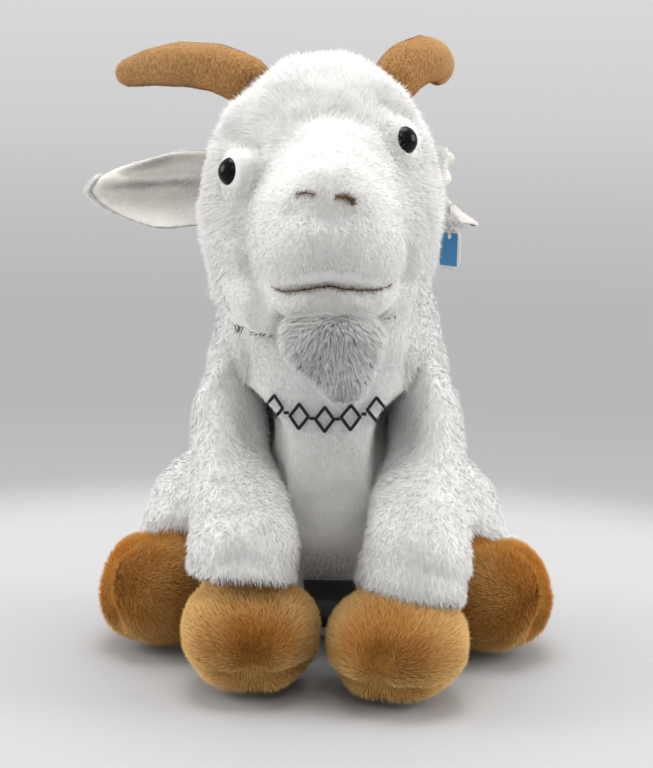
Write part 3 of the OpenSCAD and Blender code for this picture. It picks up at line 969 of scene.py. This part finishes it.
def make_embroidery():
    """A row of diamonds in satin stitch: threads side by side across each line of the pattern."""
    low, high = (np.array(v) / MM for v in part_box("chest_embroidery"))
    sag, half_w, half_h, count, stroke_width = 4.5, 4.6, 6.0, 5, 1.9
    wide = (high[0] - low[0]) / 2 - half_w
    middle = (low[0] + high[0]) / 2
    top = high[2] - half_h
    ends = []

    def stroke(points):
        line = along_line(np.array([(x * MM, 0, z * MM) for x, z in points]), 0.55)
        step = unit(np.gradient(line, axis=0))
        cross = np.stack([step[:, 2], 0 * step[:, 0], -step[:, 0]], axis=1)
        a, na = on_cloth(torso_tree, line + cross * stroke_width * MM / 2)
        b, nb = on_cloth(torso_tree, line - cross * stroke_width * MM / 2)
        for k in range(len(line)):
            n = unit(na[k] + nb[k])
            ends.append((a[k] + n * 0.0022, b[k] + n * 0.0022, n))

    for k in range(count):
        t = 2 * k / (count - 1) - 1
        x, z = middle + wide * t, top - sag * (1 - t * t)
        corners = [(x, z + half_h), (x + half_w, z), (x, z - half_h), (x - half_w, z), (x, z + half_h)]
        for a, b in zip(corners[:-1], corners[1:]):
            stroke((a, b))
        if k < count - 1:
            u = t + 1 / (count - 1)
            x, z = middle + wide * u, top - sag * (1 - u * u)
            stroke(((x - 0.9, z), (x + 0.9, z)))
    thread = stitches("chest_embroidery_thread", ends, 0.75, black_thread, 0.55)
    belongs(thread, "torso", "black_thread", "chest_embroidery")


make_embroidery()


RIBBON_THICKNESS = 0.0002


def make_label():
    """A satin ribbon folded in two, its cut ends sewn into the seam under the belly and its fold hanging forward. Its
    near-black is the label's own black and also painted shade, standing in for the shadow under the belly between the
    legs.
    """
    low, high = (np.array(v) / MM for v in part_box("care_label"))
    width, reach = high[0] - low[0], 34.0
    columns, rows = 14, 44
    co, faces = [], []
    for i in range(rows + 1):
        t = i / rows
        upper = t < 0.5
        u = 2 * t if upper else 2 - 2 * t
        y = -24.0 - reach * math.sin(u * math.pi / 2)
        swell = (1.6 if upper else -0.2) * math.sin(math.pi * min(1, u * 1.02))
        z = 39.0 - 15 * u * u + swell + (0.3 if upper else 0)
        for k in range(columns + 1):
            v = k / columns
            wave = 1.3 * math.sin(5.2 * v + 2.4 * u) * u
            skew = 7.0 * (v - 0.3) * u
            spot = low[0] + width * v + 2.5 * u, y + 0.4 * skew, z + wave * 0.6 - 0.35 * skew
            co.append([c * MM for c in spot])
    for i in range(rows):
        for k in range(columns):
            p = i * (columns + 1) + k
            faces.append((p, p + 1, p + columns + 2, p + columns + 1))
    # Near-black ribbon: the label's own black, and painted shade for the dark gap under the belly.
    mat, tree, p = shader("label_ribbon", 0.4, (0.006, 0.006, 0.007), specular=0.3)
    weave = noise_node(tree, 900, 1.0, (0.06, 1, 1))
    ramp = ramp_node(tree, weave, "Fac", [(0.3, (0.003, 0.003, 0.0035)), (0.7, (0.011, 0.011, 0.013))])
    link(tree, ramp, "Color", p, "Base Color")
    bumped(tree, p, weave.outputs["Fac"], 0.3, 0.0001)
    mesh = mesh_from("care_label_ribbon", np.array(co), [np.array(faces)])
    label = thicken(place("care_label_ribbon", mesh, mat), RIBBON_THICKNESS)
    belongs(label, "torso", "label_ribbon", "care_label")


make_label()


# ---------- legs ----------


PLUSH_THICKNESS = 0.0016


def to_shoulder(co, s):
    """Draws the top of a foreleg up into a shoulder that meets the neck, its edges let into the torso."""
    over = np.maximum(co[:, 2] - 0.108, 0)
    co = co.copy()
    co[:, 2] += 0.95 * over
    co[:, 0] -= s * 0.16 * over
    inner = (1 - ramp(s * co[:, 0], 0.030, 0.058)) * ramp(co[:, 2], 0.088, 0.118)
    co[:, 1] += 0.016 * inner
    co[:, 0] += s * 0.008 * inner
    at, way, _ = nearest(torso_tree, co)
    out = ((co - at) * way).sum(1)
    sink = 0.0070 * (1 - ramp(out, 0.001, 0.017)) * ramp(co[:, 2], 0.098, 0.130)
    return co - way * sink[:, None]


def surface_line(tree, points):
    """A line of points, in mm, put on the nearest part of a surface."""
    return np.array([tree.find_nearest(Vector(p) * MM)[0] for p in points])


def straight_cuff(co, away):
    """Opens the end of a sleeve out to a straight tube. away is each point's distance from the hoof."""
    end, above = co[away < 0.006].mean(0), co[(away > 0.022) & (away < 0.030)].mean(0)
    axis = unit(above - end)
    x, y = (v[0] for v in sideways(axis[None]))
    off = co - end
    high = off @ axis
    u, v = off @ x, off @ y
    angle, r = np.arctan2(v, u), np.hypot(u, v)
    ring = (away > 0.018) & (away < 0.030)
    bins = 36
    turn = (angle / (2 * np.pi) + 0.5) * bins
    at = turn[ring].astype(int) % bins
    count = np.bincount(at, minlength=bins)
    wide = np.bincount(at, r[ring], minlength=bins) / np.maximum(count, 1)
    wide[count == 0] = wide[count > 0].mean()
    wide = sum(np.roll(wide, k) for k in (-2, -1, 0, 1, 2)) / 5
    f = turn - 0.5
    low = np.floor(f).astype(int)
    goal = wide[low % bins] * (1 - (f - low)) + wide[(low + 1) % bins] * (f - low)
    share = 1 - ramp(away, 0.010, 0.024)
    out = r + (np.maximum(r, goal * 1.02) - r) * share
    scale = (out / np.maximum(r, 1e-6))[:, None]
    return end + high[:, None] * axis + (u[:, None] * x + v[:, None] * y) * scale


def make_leg(side, kind):
    s = dict(SIDES)[side]
    fore = kind == "fore"
    body = f"{side}_foreleg" if fore else f"{side}_hind_leg"
    sleeve = f"{side}_foreleg_sleeve" if fore else f"{side}_thigh_skin"
    hoof, stuffing = f"{side}_{kind}_hoof", f"{body}_stuffing"
    ob = form(f"{body}_form", (sleeve, hoof, stuffing), 0.0028, 10, 0.0020)
    co, no = surface_of(ob)
    low = ramp(co[:, 2], 0.002, 0.02)
    co += no * ((0.0014 * noise(co, 0.022, 41 + s) + 0.0008 * noise(co, 0.010, 44 + s)) * low)[:, None]
    low_, high_ = (np.array(v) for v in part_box(hoof))
    centre = (low_ + high_) / 2
    reach = (high_ - low_) / 2 - 0.003
    away = (co - centre) / reach
    ball = centre + away / ((np.abs(away) ** 2.2).sum(1, keepdims=True) ** (1 / 2.2)) * reach * 1.03
    lower_part = 1 - ramp(co[:, 2], high_[2] - 0.020, high_[2] - 0.004)
    inside = 1 - ramp(np.abs((co - centre) / (reach + 0.006)).max(1), 1.0, 1.25)
    co += (ball - co) * (ROUNDING[kind] * lower_part * inside)[:, None]
    foot, cleft = TOES[side, kind]
    set_points(ob.data, co)
    no = normals_of(ob.data)
    shape = tree_of(ob)
    cleft, foot = (along_line(surface_line(shape, v), 2) for v in (cleft, foot))
    co = pull(co, no, cleft, 10.0, -2.0)
    co = pull(co, no, cleft, 5.0, 7.5)
    if fore:
        co = pull(co, no, foot, 4.0, 4.0)
    set_points(ob.data, co)
    puff(ob, 3.0, 0.0025)
    co = points_of(ob.data)
    co[:, 2] = np.maximum(co[:, 2], 0.0006)
    if fore:
        co = to_shoulder(co, s)
    set_points(ob.data, co)
    if fore:
        eased(ob, ramp(co[:, 2], 0.098, 0.122), 9)
    ob = finer(ob)
    names = f"{side}_sleeve_plush" if fore else f"{side}_thigh_plush", f"{hoof}_plush"
    upper, lower = split(ob, {names[0]: (sleeve,), names[1]: (hoof,)}, [white_cloth, tan_cloth])
    co, no = surface_of(upper)
    hoof_tree = tree_from(*cad(hoof))
    away = nearest(hoof_tree, co)[2]
    if fore:
        co = straight_cuff(co, away)
    else:
        co += no * (0.0015 * (1 - ramp(away, 0.004, 0.034)))[:, None]
    set_points(upper.data, co)
    upper = thicken(upper, PLUSH_THICKNESS)
    seed = 50 + 4 * (not fore) + 2 * (s > 0)

    def by_hem(p, n):
        return off_floor(p, n) * (1 + 2.2 * (nearest(hoof_tree, p)[2] < 0.007))

    up_fur = fur(
        f"{names[0]}_pile", [upper], white_pile, 30000, 4.4, 0.42, 0.36, down, seed, clump=0.3, droop=0.12, keep=by_hem,
        under=-0.85, swirl=0.3, uneven=0.12, locks=22, rough=0.14,
    )

    def hoof_painted_light(p):
        """Deep brown round the cleft, painted shade in its crease; pale towards the sole and the far sides, painted
        light on the pile's tips and edges; darker all over on the hind hooves, painted shade.
        """
        near = off_line(p, cleft)
        painted_paleness = np.maximum(0.7 * ramp(near, 0.008, 0.036), 1 - ramp(p[:, 2], 0.015, 0.034))
        # Painted shade in the cleft.
        deep = 0.35 * (1 - ramp(near, 0.001, 0.006))
        # The hind hooves' lower starting tone is painted shade.
        return (0.16 if fore else 0.05) + (0.84 if fore else 0.45) * painted_paleness + 0.16 * noise(p, 0.012, seed) - deep

    def hoof_length(p):
        """Short in the cleft and along the line over the toes, so that they show."""
        near = off_line(p, cleft)
        if fore:
            near = np.minimum(near, off_line(p, foot))
        return 0.0010 + 0.0033 * ramp(near, 0.0015, 0.008)

    low_fur = fur(
        f"{names[1]}_pile", [lower], tan_pile, 30000, hoof_length, 0.40, 0.42,
        swing_from(cleft[len(cleft) // 2] / MM, 0.1), seed + 1, clump=0.3, keep=off_floor, swirl=0.5, uneven=0.4,
        shade=hoof_painted_light,
    )
    belongs(lower, body, "tan_plush", hoof)
    belongs(low_fur, body, "tan_plush")
    for ob in (upper, up_fur):
        if fore:
            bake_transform(ob)
        else:
            belongs(ob, body, "long_pile_plush")
    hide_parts(sleeve, stuffing)


ROUNDING = {"fore": 0.85, "hind": 0.75}
TOES = {
    ("right", "fore"): (((-62, -100, 15), (-48, -117, 13), (-32, -120, 15), (-16, -117, 13), (-5, -100, 15)),
                        ((-32, -121, 26), (-32, -122, 18), (-32, -117, 8))),
    ("left", "fore"): (((4, -104, 15), (14, -119, 13), (27, -125, 15), (42, -126, 13), (63, -110, 15)),
                       ((28, -127, 30), (26, -127, 20), (27, -122, 9))),
    ("right", "hind"): (((-115, -18, 10), (-112, -34, 10), (-100, -46, 10), (-84, -52, 10)),
                        ((-103, -22, 50), (-108, -31, 36), (-107, -36, 20))),
    ("left", "hind"): (((117, -18, 10), (114, -34, 10), (102, -46, 10), (86, -52, 10)),
                       ((107, -22, 50), (113, -32, 36), (112, -37, 20))),
}

for side, _ in SIDES:
    make_leg(side, "fore")
    make_leg(side, "hind")


# ---------- horns, ears, tail, beard ----------


def horn_painted_light(p):
    """Darker by the head and paler towards the tip, painted shade where the horn meets the head; paler along the top,
    painted light.
    """
    far = np.linalg.norm(p - np.array([0, 0, 0.285]), axis=1)
    return ramp(far, 0.035, 0.105) * 0.75 + 0.25 * ramp(p[:, 2], 0.295, 0.322) + 0.12 * noise(p, 0.006, 64)


def make_horn(side):
    skin, filling = f"{side}_horn_skin", f"{side}_horn_stuffing"
    ob = form(f"{side}_horn_plush", (skin, filling), 0.0018, 10, 0.0006)
    co, no = surface_of(ob)
    co += no * (0.0005 * noise(co, 0.012, 61))[:, None]
    at, _, gap = nearest(head_tree, co)
    into = unit(at - co)
    co += into * (0.0042 * (1 - ramp(gap, 0.003, 0.010)))[:, None]
    co -= no * (0.0006 * np.exp(-(((gap - 0.004) / 0.002) ** 2)))[:, None]
    set_points(ob.data, co)
    puff(ob, 2.0, 0.001)
    finer(ob, suede_cloth)
    belongs(ob, "head", "tan_suede_cloth", skin, filling)
    nap = fur(
        f"{side}_horn_nap", [ob], suede_pile, 16000, 1.0, 0.32, 0.5, swing_from((0, 0, 285), 0.0), 62, clump=0.1,
        rough=0.3, swirl=1.2, own=0.4, shade=horn_painted_light,
    )
    belongs(nap, "head", "tan_suede_cloth")
    make_horn_seam(side, tree_of(ob))


FROM_FRONT = Vector((0, -0.75, 0.66))


def make_horn_seam(side, tree):
    """A row of stitches along the top of the horn, where its cloth is sewn together."""
    node = f"{side}_horn_seam"
    co = cad(node)[0]
    middle = co.mean(0)
    way = np.linalg.svd(co - middle, full_matrices=False)[2][0]
    at = (co - middle) @ way
    edges = np.linspace(at.min(), at.max(), 15)
    spine = np.array([co[(at >= a) & (at <= b)].mean(0) for a, b in zip(edges[:-1], edges[1:])
                      if ((at >= a) & (at <= b)).any()])
    line, normal = [], []
    for q in along_line(spine, 1.7):
        hit = tree.ray_cast(Vector(q) + FROM_FRONT * 0.05, -FROM_FRONT)
        if hit[0]:
            line.append(np.array(hit[0]))
            normal.append(np.array(hit[1]))
    ends = []
    for a, b, n in zip(line, line[1:], normal):
        ends.append((a * 0.82 + b * 0.18 + n * 0.0003, a * 0.1 + b * 0.9 + n * 0.0003, n))
    belongs(stitches(f"{side}_horn_stitches", ends, 0.6, tan_thread), "head", "brown_thread", node)


HEAD_MIDDLE = np.array([-0.005, 0.0, 0.243])


def make_ear(side):
    back, inner = f"{side}_ear_back", f"{side}_ear_lining"
    s = dict(SIDES)[side]
    ob = form(f"{side}_ear_form", (back, inner), 0.0012, 6, 0.0003)
    root = np.array(next(j for j in frame["joints"] if j["child"] == f"{side}_ear")["pos_m"])
    co = points_of(ob.data)
    long = unit(co[np.argsort(-np.linalg.norm(co - root, axis=1))[:40]].mean(0) - root)
    front = unit(np.cross(long, UP) * s)
    front = front if (front @ np.array([s * 0.3, -1, 0])) > 0 else -front
    rise = unit(np.cross(front, long))
    rise = rise if rise[2] > 0 else -rise
    off = co - root
    t, u = off @ long, off @ rise
    span = t.max()
    t = t / span
    top, low = u[(t > 0.2) & (t < 0.5)].max(), u[(t > 0.2) & (t < 0.5)].min()
    edge = np.where(u > 0, u / top, u / low)
    slim = np.sin(np.pi * np.clip(t, 0, 1)) * 0.24
    lobe = np.clip(u / low, 0, 1.1) ** 1.6
    co -= rise * np.where(u > 0, u * slim, 0)[:, None]
    co += front * (0.0060 * np.clip(edge, 0, 1.1) ** 2 * (u > 0) * ramp(t, 0.0, 0.5))[:, None]
    co += front * (0.0120 * lobe * np.sin(np.pi * np.clip(0.15 + 0.8 * t, 0, 1)))[:, None]
    fold = np.exp(-(((u / top - 0.25) / 0.25) ** 2)) * ramp(t, -0.05, 0.2) * (1 - ramp(t, 0.7, 0.98))
    co += front * (0.0045 * fold)[:, None]
    co += front * (0.0008 * noise(co, 0.010, 72))[:, None]
    co += unit(HEAD_MIDDLE - root) * (0.013 * (1 - ramp(t, 0.0, 0.22)))[:, None]
    set_points(ob.data, co)
    ob = finer(ob)
    parts = {f"{side}_ear_plush": (back,), f"{side}_ear_inside": (inner,)}
    rear, lining = split(ob, parts, [white_cloth, ear_cloth])
    leaning(lining, 0.7)
    belongs(rear, f"{side}_ear", "long_pile_plush", back)
    belongs(lining, f"{side}_ear", "ear_lining_cloth", inner)
    pile = fur(
        f"{side}_ear_pile", [rear], white_pile, 12000, 4.4, 0.42, 0.34, swing_from(root / MM, 0.1), 71, own=None,
        clump=0.25,
    )
    belongs(pile, f"{side}_ear", "long_pile_plush")
    nap = fur(
        f"{side}_ear_nap", [lining], cream_pile, 7000, 1.5, 0.3, 0.25, swing_from(root / MM, 0.1), 73, clump=0.15,
        lean=0.8,
    )
    belongs(nap, f"{side}_ear", "ear_lining_cloth")


for side, _ in SIDES:
    make_horn(side)
    make_ear(side)


def make_tail():
    ob = form("tail_plush", ("tail_skin", "tail_stuffing"), 0.002, 8, 0.002)
    puff(ob, 2.0, 0.0015)
    co = points_of(ob.data)
    root = 1 - ramp(co[:, 1], 0.084, 0.100)
    co[:, 1] -= 0.010 * root
    middle = np.array([0, 0, 0.066])
    co += (co - middle) * np.array([0.35, 0, 0.35]) * root[:, None]
    set_points(ob.data, co)
    finer(ob, white_cloth)
    belongs(ob, "tail", "long_pile_plush", "tail_skin", "tail_stuffing")
    pile = fur("tail_pile", [ob], white_pile, 12000, 7.0, 0.5, 0.30, down, 81, own=0.25, clump=0.3, swirl=0.3)
    belongs(pile, "tail", "long_pile_plush")


def make_beard():
    ob = form("beard_plush", ("goatee",), 0.002, 6, 0.0012)
    co = points_of(ob.data)
    top = ramp(co[:, 2], 0.156, 0.176)
    co[:, 0] = 0.003 + (co[:, 0] - 0.003) * (1 + 0.22 * top)
    bulge = np.sin(np.pi * np.clip((co[:, 2] - 0.148) / 0.034, 0, 1))
    co[:, 1] = -0.090 + (co[:, 1] + 0.083) * (1.1 + 0.5 * top) - 0.006 * bulge
    co[:, 2] += 0.006 * top
    co[:, 0] += 0.004 * (1 - ramp(co[:, 2], 0.150, 0.176))
    co[:, 1] -= 0.008 * (1 - ramp(co[:, 2], 0.150, 0.178))
    co += normals_of(ob.data) * (0.0022 * noise(co, 0.013, 92))[:, None]
    set_points(ob.data, co)
    finer(ob, white_cloth)
    leaning(ob, 0.5)
    belongs(ob, "head", "beard_fur", "goatee")
    point = np.array([0.006, -0.094, 0.156])

    def splay(p, n):
        """Down, with the locks parting from the middle of the front."""
        return unit(p - point) * np.array([0.7, 0.4, 0.0]) - 1.2 * UP

    # Its material is the lighter beard pile, painted light against the chin's shadow.
    pile = fur(
        "beard_pile_painted_light", [ob], beard_pile_painted_light, 14000, 8.0, 0.44, 0.24, splay, 91, clump=0.28, locks=20, swirl=0.35,
        curl=0.05, own=0.18, lean=0.7, rough=0.12, under=-0.35,
    )
    belongs(pile, "head", "beard_fur")


make_tail()
make_beard()


# ---------- eyes and CAD pieces that stay ----------


def speckled(name, low, high, scale, roughness, specular=0.5, depth=0.0001):
    """A hard or cloth surface with a fine mottled colour and a fine relief."""
    mat, tree, p = shader(name, roughness, high, specular=specular)
    grain = noise_node(tree, scale, 3.0)
    link(tree, ramp_node(tree, grain, "Fac", [(0.35, low), (0.65, high)]), "Color", p, "Base Color")
    bumped(tree, p, grain.outputs["Fac"], 0.4, depth)
    return mat


TAG_BORDER = 0.0021


def tag_material():
    """Card printed blue inside a white border, with paper grain."""
    mat, tree, p = shader("tag_card", 0.5, (0.05, 0.3, 0.6), specular=0.4)
    low, high = (np.array(v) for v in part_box("swing_tag"))
    middle, half = (low + high) / 2, (high - low) / 2 - TAG_BORDER
    place_ = add(tree, "SeparateXYZ")
    link(tree, add(tree, "TexCoord"), "Object", place_, "Vector")

    def maths(operation, a, b):
        """A sum on an output and on a number or another output."""
        node = add(tree, "Math")
        node.operation = operation
        tree.links.new(a, node.inputs[0])
        if isinstance(b, float):
            node.inputs[1].default_value = b
        else:
            tree.links.new(b, node.inputs[1])
        return node.outputs[0]

    inside = []
    for k, axis in ((1, "Y"), (2, "Z")):
        off = maths("SUBTRACT", place_.outputs[axis], float(middle[k]))
        inside.append(maths("LESS_THAN", maths("ABSOLUTE", off, 0.0), float(half[k])))
    both = maths("MULTIPLY", *inside)
    paper = noise_node(tree, 1800, 3.0)
    blue = ramp_node(tree, paper, "Fac", [(0.3, (0.03, 0.25, 0.55)), (0.7, (0.05, 0.32, 0.66))])
    white = ramp_node(tree, paper, "Fac", [(0.3, (0.78, 0.78, 0.77)), (0.7, (0.88, 0.88, 0.87))])
    mixed = mix_node(tree, "MIX", both, white.outputs["Color"], blue.outputs["Color"])
    tree.links.new(mixed, p.inputs["Base Color"])
    bumped(tree, p, paper.outputs["Fac"], 0.3, 0.00005)
    return mat


def finish_cad():
    eye = speckled("eye_plastic", (0.003, 0.003, 0.003), (0.006, 0.005, 0.004), 400, 0.06, 0.16, 0.00001)
    plastic = speckled("white_plastic", (0.66, 0.66, 0.64), (0.80, 0.80, 0.79), 500, 0.35)
    bag = speckled("bag_cloth", (0.42, 0.41, 0.39), (0.58, 0.57, 0.55), 1500, 0.9, 0.2)
    pellets = speckled("plastic_pellets", (0.40, 0.42, 0.44), (0.72, 0.74, 0.76), 350, 0.4, 0.5, 0.0008)
    lining = speckled("lining_cloth", (0.70, 0.69, 0.67), (0.82, 0.81, 0.79), 1300, 0.9, 0.2)
    paint = {
        "right_eye": eye, "left_eye": eye, "right_eye_washer": plastic, "left_eye_washer": plastic,
        "tag_fastener": plastic, "neck_panel": lining, "pellet_bag": bag, "pellet_fill": pellets,
        "swing_tag": tag_material(),
    }
    for node, mat in paint.items():
        for slot in frame["nodes"][node].material_slots:
            slot.material = mat


finish_cad()


# ---------- floor, light ----------


def make_stage():
    steps = 96
    rings = (0.0, 0.15, 0.3, 0.45, 0.6, 0.8)
    angles = [2 * math.pi * k / steps for k in range(steps)]
    co = [(r * math.cos(a), r * math.sin(a), 0.0) for r in rings for a in angles]
    faces = []
    for i in range(len(rings) - 1):
        for k in range(steps):
            a, b = i * steps + k, i * steps + (k + 1) % steps
            faces.append((a, a + steps, b + steps, b))
    mesh = mesh_from("floor", np.array(co), [np.array(faces)])
    mat, tree, p = shader("pale_floor", 0.65, (0.52, 0.52, 0.525), specular=0.25)
    ob = place("floor", mesh, mat)
    length = add(tree, "VectorMath")
    length.operation = "LENGTH"
    link(tree, add(tree, "TexCoord"), "Object", length, 0)
    fade = add(tree, "MapRange", From_Min=0.32, From_Max=0.50, To_Min=1.0, To_Max=0.0)
    fade.interpolation_type = "SMOOTHSTEP"
    link(tree, length, "Value", fade, "Value")
    link(tree, fade, "Result", p, "Alpha")


def make_light():
    world = bpy.data.worlds.new("studio")
    world.use_nodes = True
    scene.world = world
    tree = world.node_tree
    back = tree.nodes["Background"]
    way = add(tree, "SeparateXYZ")
    link(tree, add(tree, "TexCoord"), "Generated", way, "Vector")
    height = add(tree, "MapRange", From_Min=-0.40, From_Max=0.20)
    link(tree, way, "Z", height, "Value")
    greys = (
        (0.0, 0.74, 0.74), (0.24, 0.72, 0.72), (0.335, 0.53, 0.535), (0.42, 0.475, 0.48), (0.52, 0.48, 0.483),
        (0.607, 0.54, 0.54), (0.687, 0.62, 0.62), (0.80, 0.69, 0.69), (1.0, 0.72, 0.72),
    )
    sky = ramp_node(tree, height, "Result", [(at, (grey, grey, blue)) for at, grey, blue in greys])
    behind = add(tree, "MapRange", From_Min=-0.9, From_Max=0.1, To_Min=0.72, To_Max=1.0)
    link(tree, way, "Y", behind, "Value")
    link(tree, sky, "Color", back, "Color")
    link(tree, behind, "Result", back, "Strength")
    area_light("top", (0.0, 0.12, 1.25), (0, 0, 0.1), 0.9, 9.1)
    area_light("front_top", (0.0, -1.1, 1.0), (0, 0, 0.13), 0.7, 1.1)
    area_light("left_side", (1.2, 0.0, 0.60), (0, 0, 0.15), 0.8, 7.4)
    area_light("right_side", (-1.2, 0.0, 0.60), (0, 0, 0.15), 0.8, 7.5)


make_stage()
make_light()
